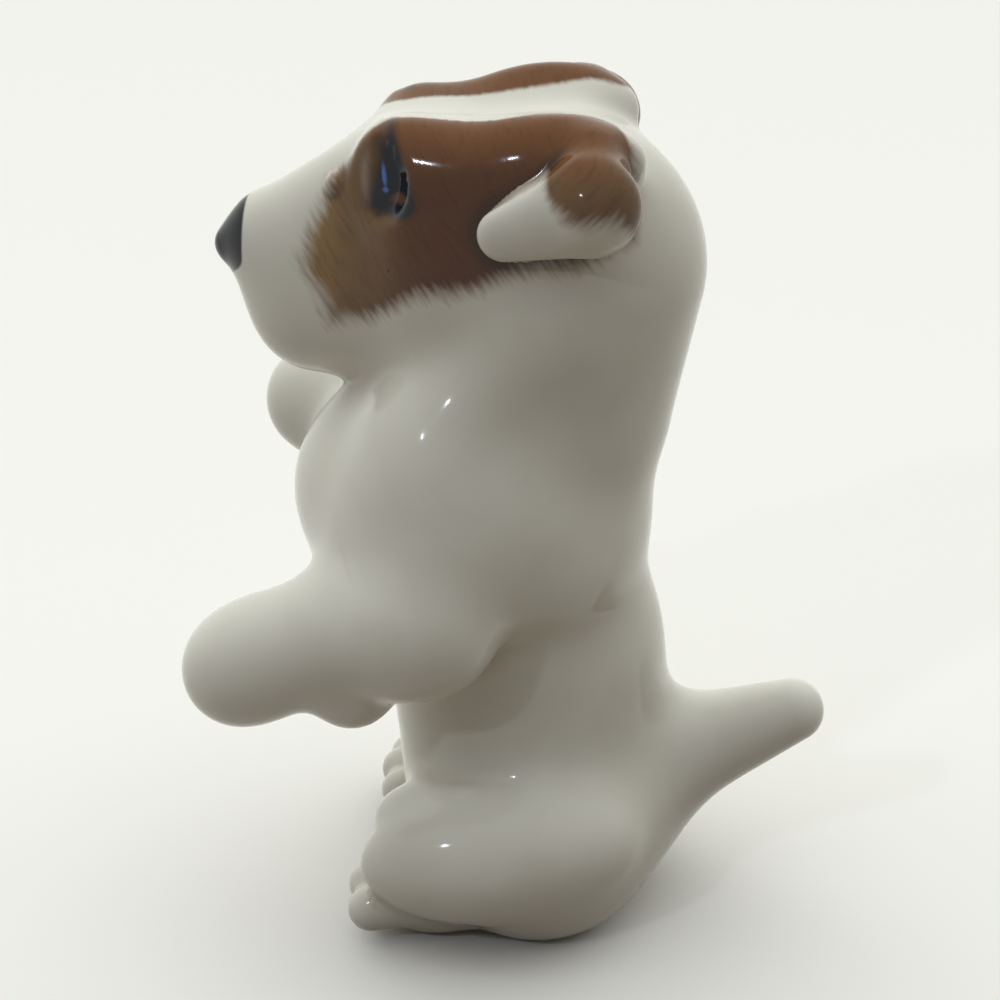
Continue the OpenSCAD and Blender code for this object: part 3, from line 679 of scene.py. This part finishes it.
def capsule_skin(s, own, a, b, sides, rows, caps, mirror=False, marks=None, beneath=None, **kw):
    """Skin of a small casting that laps over the trunk: rays fan out round a straight core from a to b and over
    both of its ends."""
    axis = (b - a) / np.linalg.norm(b - a)
    up = at(0, 0, 1) if abs(axis[2]) < 0.9 else at(0, -1, 0)
    across = np.cross(axis, up)
    across = across / np.linalg.norm(across)
    along = np.cross(axis, across)
    opening = 90 * np.arange(1, caps + 1) / caps
    middles = [a + (b - a) * i / rows for i in range(1, rows)]
    lines = (fan(a, -axis, across, along, opening) + rings(middles, across, [along] * len(middles))
             + fan(b, axis, across, along, opening[::-1]))
    starts, ways = with_poles(*spread_rays(lines, sides), (a, -axis), (b, axis))
    if mirror:
        starts, ways = on_right(starts), on_right(ways)
    points = glazed_skin(s, own, starts, ways, SMALL_RAY, lambda p: own(p, s) - trunk_form(p, s), beneath, **kw)
    return shell(s, points, len(lines), sides, **(marks(points, s) if marks else {}))


# Materials

def add(tree, kind, inputs=(), **settings):
    """Adds a node with its settings, and sets or links each input given by its name or number."""
    node = tree.nodes.new(kind)
    for key, value in settings.items():
        setattr(node, key, value)
    for key, value in dict(inputs).items():
        if isinstance(value, bpy.types.NodeSocket):
            tree.links.new(value, node.inputs[key])
        else:
            node.inputs[key].default_value = value
    return node


def new_material(name):
    """Material with an empty node tree, and that tree."""
    material = bpy.data.materials.new(name)
    material.use_nodes = True
    material.node_tree.nodes.clear()
    return material, material.node_tree


def rgba(colour_prop):
    """Colour setting as a node takes it."""
    return (*colour_prop, 1.0)


# Lie of the brush strokes in the side view, in degrees above level, on the head and on the ears
HEAD_STROKES = -53.0
EAR_STROKES = 48.0
# Length, width and depth of a brush stroke, in mm
STROKE = (2.6, 0.34, 1.2)
# How far strokes shift the paint's edge and how soft it is, as shares of its fray, and its least softness in mm
FRAY_SHIFT = 2.4
FRAY_SOFTNESS, LEAST_SOFTNESS = 1.8, 0.2
# Size of the clouds in the body, spacing of the glaze's pinholes, size of its ripples, and size and reach of the
# paint's wandering tones, in mm
CLOUD = 9.0
PIT_SPACING = 4.5
RIPPLE = 2.5
WANDER, WANDER_REACH = 4.0, 5.0
# Where the golden paint thickens and where it turns to chestnut along Y, and where it turns to caramel up Z
THICK_GOLD_Y = (-15.0 * MM, -11.0 * MM)
CHESTNUT_Y = (-13.0 * MM, -4.5 * MM)
CARAMEL_Z = (64.0 * MM, 67.5 * MM)
# Share of golden paint in the ears' brown
EAR_GOLD = 0.6


def glaze(name, strokes=None, face=False, gold=0.0):
    """White porcelain under a clear glaze: milky, even and wet looking, darkened in creases with painted shade and the
    tint of pooled glaze, with a few dark pinholes. With strokes it has brown paint under the glaze, brushed along that
    lie: frayed at its edges, golden on the cheek, chestnut behind the eye, caramel on top and round its edge, and
    darker in creases with painted shade. A share of gold stays in the chestnut. A face has blue-black eyes and nose as
    well, with painted shade round each eye and a painted highlight in it."""
    c = bpy.context.scene.dog_colours
    material, tree = new_material(name)
    place = add(tree, "ShaderNodeTexCoord").outputs["Object"]

    def attribute(mark):
        return add(tree, "ShaderNodeAttribute", attribute_name=mark).outputs["Fac"]

    def mix(factor, below, above):
        return add(tree, "ShaderNodeMix", {0: factor, 6: below, 7: above}, data_type="RGBA").outputs[2]

    def ramp(value, low, high, to_low=0.0, to_high=1.0):
        return add(tree, "ShaderNodeMapRange", {0: value, 1: low, 2: high, 3: to_low, 4: to_high},
                   interpolation_type="SMOOTHSTEP").outputs[0]

    def math(operation, a, b):
        return add(tree, "ShaderNodeMath", {0: a, 1: b}, operation=operation).outputs[0]

    def noise(mm):
        return add(tree, "ShaderNodeTexNoise", {"Vector": place, "Scale": 1.0 / (mm * MM), "Detail": 2.0}).outputs[0]

    cloudy = ramp(noise(CLOUD), 0.35, 0.65)
    tone = mix(math("MULTIPLY", cloudy, 0.35), rgba(c.porcelain), rgba(c.clouded))
    # Painted shade in creases, with the tint of pooled glaze
    tone = mix(math("MULTIPLY", attribute("pool_and_shade"), 0.55), tone, rgba(c.pooled_glaze_and_shade))
    pits = add(tree, "ShaderNodeTexVoronoi", {"Vector": place, "Scale": 1.0 / (PIT_SPACING * MM)})
    pit_size = add(tree, "ShaderNodeSeparateColor", {0: pits.outputs["Color"]}).outputs[0]
    pit_edge = math("MULTIPLY", ramp(pit_size, 0.55, 1.0), 0.05)
    pit = ramp(math("SUBTRACT", pit_edge, pits.outputs["Distance"]), 0.0, 0.012)
    relief = noise(RIPPLE)
    if strokes is not None:
        lie = add(tree, "ShaderNodeMapping", {
            "Vector": place, "Rotation": (np.radians(strokes), 0, 0),
            "Scale": (STROKE[2] * MM, STROKE[0] * MM, STROKE[1] * MM)}, vector_type="TEXTURE").outputs[0]
        hairs = add(tree, "ShaderNodeTexNoise", {"Vector": lie, "Scale": 1.0, "Detail": 3.0}).outputs[0]
        frayed = math("MULTIPLY", math("SUBTRACT", hairs, 0.5), math("MULTIPLY", attribute("fray"), FRAY_SHIFT))
        inside = math("ADD", attribute("patch"), frayed)
        softness = math("ADD", math("MULTIPLY", attribute("fray"), FRAY_SOFTNESS), LEAST_SOFTNESS)
        painted = ramp(math("DIVIDE", inside, softness), -0.6, 0.8)
        y, z = add(tree, "ShaderNodeSeparateXYZ", {0: place}).outputs[1:3]
        wander = math("MULTIPLY", math("SUBTRACT", noise(WANDER), 0.5), WANDER_REACH * MM)
        back = math("ADD", y, wander)
        golden = mix(ramp(back, *THICK_GOLD_Y, 0.0, 0.35), rgba(c.olive), rgba(c.umber))
        paint = mix(ramp(back, *CHESTNUT_Y, 0.0, 1.0 - gold), golden, rgba(c.chestnut))
        paint = mix(ramp(math("ADD", z, wander), *CARAMEL_Z), paint, rgba(c.caramel))
        paint = mix(ramp(inside, 0.0, 1.0, 0.45, 0.0), paint, rgba(c.caramel))
        paint = mix(math("MULTIPLY", ramp(hairs, 0.48, 0.7), 0.22), paint, rgba(c.umber))
        # Painted shade: umber darkens the brown paint in creases
        paint = mix(math("MULTIPLY", attribute("pool_and_shade"), 0.8), paint, rgba(c.umber))
        tone = mix(painted, tone, paint)
        relief = math("ADD", relief, math("MULTIPLY", math("MULTIPLY", hairs, painted), 0.4))
    if face:
        # Painted shade: a soft dark rim round the eye, widest ahead of it, where the socket lies in shade
        tone = mix(ramp(attribute("eye"), -0.5, 0.1, 0.0, 0.6), tone, rgba(c.umber))
        tone = mix(ramp(attribute("eye"), -0.1, 0.2), tone, rgba(c.eye))
        tone = mix(ramp(attribute("iris"), -0.1, 0.3, 0.0, 0.8), tone, rgba(c.iris))
        # Painted highlight in the eye, in blue
        tone = mix(ramp(attribute("glint"), -0.05, 0.12, 0.0, 0.9), tone, rgba(c.glint))
        tone = mix(ramp(attribute("nose"), -0.12, 0.12), tone, rgba(c.nose))
    tone = mix(math("MULTIPLY", pit, 0.7), tone, rgba(c.umber))
    bump = add(tree, "ShaderNodeBump", {"Height": relief, "Strength": 0.05, "Distance": 0.3 * MM}).outputs[0]
    shader = add(tree, "ShaderNodeBsdfPrincipled", {
        "Base Color": tone, "Normal": bump, "Roughness": 0.12, "IOR": 1.5, "Specular IOR Level": 0.2,
        "Coat Weight": 0.2, "Coat Roughness": 0.03, "Coat Normal": bump})
    add(tree, "ShaderNodeOutputMaterial", {"Surface": shader.outputs[0]})
    return material


def background_seen(tree):
    """1 on rays from the camera and on those that the glaze mirrors or lets through, 0 on rays that light the
    object."""
    path = add(tree, "ShaderNodeLightPath").outputs
    seen = path["Is Camera Ray"]
    for other in ("Is Glossy Ray", "Is Transmission Ray"):
        seen = add(tree, "ShaderNodeMath", {0: seen, 1: path[other]}, operation="MAXIMUM").outputs[0]
    return seen


# Way to the middle of the window, and how far its light reaches round, as a cosine
WINDOW_WAY = Vector((-0.6, -0.12, 0.79)).normalized()
WINDOW_END = -0.2


def pale_floor():
    """Matt pale paper: white to the eye and in the glaze, a duller grey to the light that it throws back."""
    st = bpy.context.scene.dog_stage
    material, tree = new_material("matt_pale_paper")
    tone = add(tree, "ShaderNodeMix", {0: background_seen(tree), 6: rgba(st.bounce), 7: rgba(st.floor)},
               data_type="RGBA")
    shader = add(tree, "ShaderNodeBsdfDiffuse", {"Color": tone.outputs[2]})
    add(tree, "ShaderNodeOutputMaterial", {"Surface": shader.outputs[0]})
    return material


def dim_room():
    """Dim warm room that fills the shadows and grows light towards a broad window above and behind, with a plain
    pale backdrop where the background is seen."""
    st = bpy.context.scene.dog_stage
    world = bpy.data.worlds.new("dim_room")
    world.use_nodes = True
    tree = world.node_tree
    tree.nodes.clear()
    way = add(tree, "ShaderNodeTexCoord").outputs["Generated"]
    facing = add(tree, "ShaderNodeVectorMath", {0: way, 1: WINDOW_WAY}, operation="DOT_PRODUCT")
    lit = add(tree, "ShaderNodeMapRange", {0: facing.outputs["Value"], 1: WINDOW_END, 2: 1.0},
              interpolation_type="SMOOTHSTEP")
    tone = add(tree, "ShaderNodeMix", {0: lit.outputs[0], 6: rgba(st.room), 7: rgba(st.window)}, data_type="RGBA")
    light = add(tree, "ShaderNodeBackground", {"Color": tone.outputs[2], "Strength": st.window_strength})
    backdrop = add(tree, "ShaderNodeBackground", {"Color": rgba(st.backdrop), "Strength": 1.0})
    shader = add(tree, "ShaderNodeMixShader", {0: background_seen(tree), 1: light.outputs[0], 2: backdrop.outputs[0]})
    add(tree, "ShaderNodeOutputWorld", {"Surface": shader.outputs[0]})
    return world


# Operators

class PieceOperator:
    bl_options = {"REGISTER", "UNDO"}


class DOG_OT_torso(PieceOperator, bpy.types.Operator):
    """Cast the torso: level foot with its vent, seat, belly, chest and neck"""
    bl_idname = "dog.torso"
    bl_label = "Torso"

    def execute(self, context):
        s = read_sizes()
        sides, fan_rows, ring_rows = 256, 60, 150
        # Level where the fan over the foot ends, how far the rings go on above the neck's seat, and how far above it
        # the skin starts to dive under the head, in mm
        foot_z, overlap, seat_lap = 8.0, 1.6, 1.0
        heights = np.linspace(foot_z, s.neck_z + overlap, ring_rows + 1)
        # Core: how far back it lies at each of these levels, in mm
        levels = [0, 10, 20, 34, 44, s.neck_z]
        line = np.interp(heights, levels, [s.foot_y, s.foot_y, 1, -2.6, 0.6, s.neck_at[1]])
        tilts = s.neck_tilt * (np.minimum(heights, s.neck_z) / s.neck_z) ** 2
        middles = np.column_stack([np.zeros_like(line), line, heights])
        across = at(1, 0, 0)
        alongs = [level(t) for t in tilts]
        lines = (fan(middles[0], at(0, 0, -1), across, alongs[0], 90 * np.arange(1, fan_rows) / fan_rows)
                 + rings(middles, across, alongs))
        starts, ways = with_poles(*spread_rays(lines, sides), (middles[0], at(0, 0, -1)), (middles[-1], s.seat_up))
        most = np.full(starts.shape[1], TRUNK_RAY)
        most[-1] = SEAT_RAY
        points = glazed_skin(s, trunk_form, starts, ways, most, lambda p: over_seat(p, s) - seat_lap,
                             lambda p: under_luted(p, s))
        skin = shell(s, points, len(lines), sides)
        make_piece("torso", [skin], glaze("clear_porcelain_glaze"))
        return {"FINISHED"}


class DOG_OT_head(PieceOperator, bpy.types.Operator):
    """Cast the head: skull, cheeks, brows, eyes, muzzle and nose"""
    bl_idname = "dog.head"
    bl_label = "Head"

    def execute(self, context):
        s = read_sizes()
        sides, swing_rows, bridge_rows, nose_rows = 320, 190, 4, 60
        # The rings swing about a line at the throat: its distance from the core at the neck's seat, how much nearer the
        # core comes on the way to the muzzle, and the gap that rays leave before the line, in mm
        throat_reach, throat_draw, throat_gap = 17.2, 7.5, 0.5
        # Dip of the muzzle, and how far the rings start under the neck's seat, in degrees
        muzzle_dip, overlap = 15.0, 6.0
        throat = s.neck_at - throat_reach * s.seat_back
        muzzle_at = s.nose_at + at(0, 3.6, -1.6)
        muzzle_axis = -level(muzzle_dip)
        muzzle_up = level(muzzle_dip + 90)
        swing = 90 + muzzle_dip - s.neck_tilt
        turns = np.linspace(-overlap, swing, swing_rows + 1)
        out = throat_reach - throat_draw * np.maximum(turns, 0) / swing
        alongs = [level(s.neck_tilt + t) for t in turns]
        middles = [throat + o * along for o, along in zip(out, alongs)]
        across = at(1, 0, 0)
        bridge = [middles[-1] + (muzzle_at - middles[-1]) * i / bridge_rows for i in range(1, bridge_rows)]
        lines = (rings(middles + bridge, across, alongs + [muzzle_up] * len(bridge))
                 + fan(muzzle_at, muzzle_axis, across, muzzle_up, 90 * (1 - np.arange(nose_rows) / nose_rows)))
        starts, ways = with_poles(*spread_rays(lines, sides), (middles[0], -s.seat_up), (muzzle_at, muzzle_axis))
        # Rays that point to the throat's line stop short of it
        down = np.maximum(-np.sin(2 * np.pi * np.arange(sides) / sides), 0.01)
        most = np.full((len(lines), sides), TRUNK_RAY)
        most[:len(out)] = np.minimum((out[:, None] - throat_gap) / down, TRUNK_RAY)
        most = np.concatenate([[SEAT_RAY], most.ravel(), [TRUNK_RAY]])
        points = glazed_skin(s, trunk_form, starts, ways, most, lambda p: -over_seat(p, s),
                             lambda p: under_luted(p, s))
        skin = shell(s, points, len(lines), sides, **head_marks(points, s))
        material = glaze("painted_head_glaze", HEAD_STROKES, face=True)
        make_piece("head", [skin], material)
        return {"FINISHED"}


class DOG_OT_ears(PieceOperator, bpy.types.Operator):
    """Cast the two folded ears"""
    bl_idname = "dog.ears"
    bl_label = "Ears"

    def execute(self, context):
        s = read_sizes()
        front = s.ear_front + at(-0.4, 0.4, 0.2)
        rear = s.ear_rear + at(-1, 0, 0.6)
        for name, mirror in (("left_ear", False), ("right_ear", True)):
            skin = capsule_skin(s, ear_form, front, rear, sides=160, rows=60, caps=48, mirror=mirror, marks=ear_marks)
            material = glaze("painted_ear_glaze", EAR_STROKES, gold=EAR_GOLD)
            make_piece(name, [skin], material)
        return {"FINISHED"}


class DOG_OT_forelegs(PieceOperator, bpy.types.Operator):
    """Cast the two forelegs, the left one held out and the right one raised"""
    bl_idname = "dog.forelegs"
    bl_label = "Forelegs"

    def execute(self, context):
        s = read_sizes()
        for name, form, elbow, paw, mirror in (
                ("left_foreleg", left_foreleg_form, s.left_elbow, s.left_paw, False),
                ("right_foreleg", right_foreleg_form, s.right_elbow, s.right_paw, True)):
            skin = capsule_skin(s, form, elbow, paw, sides=160, rows=80, caps=60, mirror=mirror)
            make_piece(name, [skin], glaze("clear_porcelain_glaze"))
        return {"FINISHED"}


class DOG_OT_hind_legs(PieceOperator, bpy.types.Operator):
    """Cast the two hind legs: thigh with its knee fold, and paw with its toes"""
    bl_idname = "dog.hind_legs"
    bl_label = "Hind legs"

    def execute(self, context):
        s = read_sizes()
        half = at(0, s.thigh_l / 4, 0)
        heel = s.foot_at + at(0, 2, 0)
        toes = s.foot_at + at(0, 2 - s.foot_l / 2, -0.8)

        def under_thigh(p):
            return paw_form(p, s) - thigh_form(p, s)

        for name, mirror in (("left_hind_leg", False), ("right_hind_leg", True)):
            thigh = capsule_skin(s, thigh_form, s.thigh_at + half, s.thigh_at - half, sides=160, rows=60, caps=60,
                                 mirror=mirror)
            paw = capsule_skin(s, paw_form, heel, toes, sides=160, rows=30, caps=60, mirror=mirror,
                               beneath=under_thigh)
            make_piece(name, [thigh, paw], glaze("clear_porcelain_glaze"))
        return {"FINISHED"}


class DOG_OT_tail(PieceOperator, bpy.types.Operator):
    """Cast the docked tail"""
    bl_idname = "dog.tail"
    bl_label = "Tail"

    def execute(self, context):
        s = read_sizes()
        skin = capsule_skin(s, tail_form, s.tail_root, s.tail_tip, sides=128, rows=70, caps=30, reach_out=4.0)
        make_piece("tail", [skin], glaze("clear_porcelain_glaze"))
        return {"FINISHED"}


# Point that the camera and the lamp face, in m, and the camera's focal length and sensor width, in mm
TARGET = Vector((0, -0.001, 0.035))
FOCAL_LENGTH, SENSOR_WIDTH = 75.9, 36.0
# Small lamp that gives the glaze its hard glints: place and size in m, power in W and tint
GLINT_AT = Vector((0.339, -0.213, 0.336))
GLINT_SIZE, GLINT_POWER, GLINT_TINT = 0.024, 0.2, "#e6f0ff"


class DOG_OT_stage(bpy.types.Operator):
    """Set up the camera, the floor, a small lamp and the light of the room"""
    bl_idname = "dog.stage"
    bl_label = "Stage"

    def execute(self, context):
        st = context.scene.dog_stage
        a, e = st.camera_turn, st.camera_rise
        back = Vector((np.sin(a) * np.cos(e), -np.cos(a) * np.cos(e), np.sin(e)))
        right = (-back).cross(Vector((0, 0, 1))).normalized()
        up = right.cross(-back)
        lens = bpy.data.cameras.new("camera")
        lens.lens = FOCAL_LENGTH
        lens.sensor_width = SENSOR_WIDTH
        lens.clip_start = 0.005
        camera = bpy.data.objects.new("camera", lens)
        facing = Matrix((right, up, back)).transposed().to_4x4()
        camera.matrix_world = Matrix.Translation(TARGET + back * st.camera_range) @ facing
        context.scene.collection.objects.link(camera)
        context.scene.camera = camera

        bpy.ops.mesh.primitive_plane_add(size=4.0, location=(0, 0, 0))
        floor = context.object
        floor.name = "floor"
        floor.data.materials.append(pale_floor())

        light = bpy.data.lights.new("glint", "AREA")
        light.size = GLINT_SIZE
        light.energy = GLINT_POWER
        light.color = linear(GLINT_TINT)
        lamp = bpy.data.objects.new("glint", light)
        lamp.location = GLINT_AT
        lamp.rotation_euler = (TARGET - GLINT_AT).to_track_quat("-Z", "Y").to_euler()
        context.scene.collection.objects.link(lamp)
        context.scene.world = dim_room()
        context.scene.view_settings.view_transform = "Standard"
        return {"FINISHED"}


class DOG_PT_panel(bpy.types.Panel):
    """Sidebar panel that lists the castings and the stage"""
    bl_idname = "DOG_PT_panel"
    bl_label = "Porcelain terrier"
    bl_space_type = "VIEW_3D"
    bl_region_type = "UI"
    bl_category = "Terrier"

    def draw(self, context):
        for operator in OPERATORS:
            self.layout.operator(operator.bl_idname)


GROUPS = (("dog_sizes", DogSizes), ("dog_colours", DogColours), ("dog_stage", StageSettings))
OPERATORS = (DOG_OT_stage, DOG_OT_torso, DOG_OT_head, DOG_OT_ears, DOG_OT_forelegs, DOG_OT_hind_legs, DOG_OT_tail)
CLASSES = tuple(group for _, group in GROUPS) + OPERATORS + (DOG_PT_panel,)


def register():
    for cls in CLASSES:
        bpy.utils.register_class(cls)
    for name, group in GROUPS:
        setattr(bpy.types.Scene, name, PointerProperty(type=group))


def unregister():
    for name, _ in GROUPS:
        delattr(bpy.types.Scene, name)
    for cls in reversed(CLASSES):
        bpy.utils.unregister_class(cls)


def main():
    register()
    for operator in OPERATORS:
        group, name = operator.bl_idname.split(".")
        getattr(getattr(bpy.ops, group), name)()


if __name__ == "__main__":
    main()
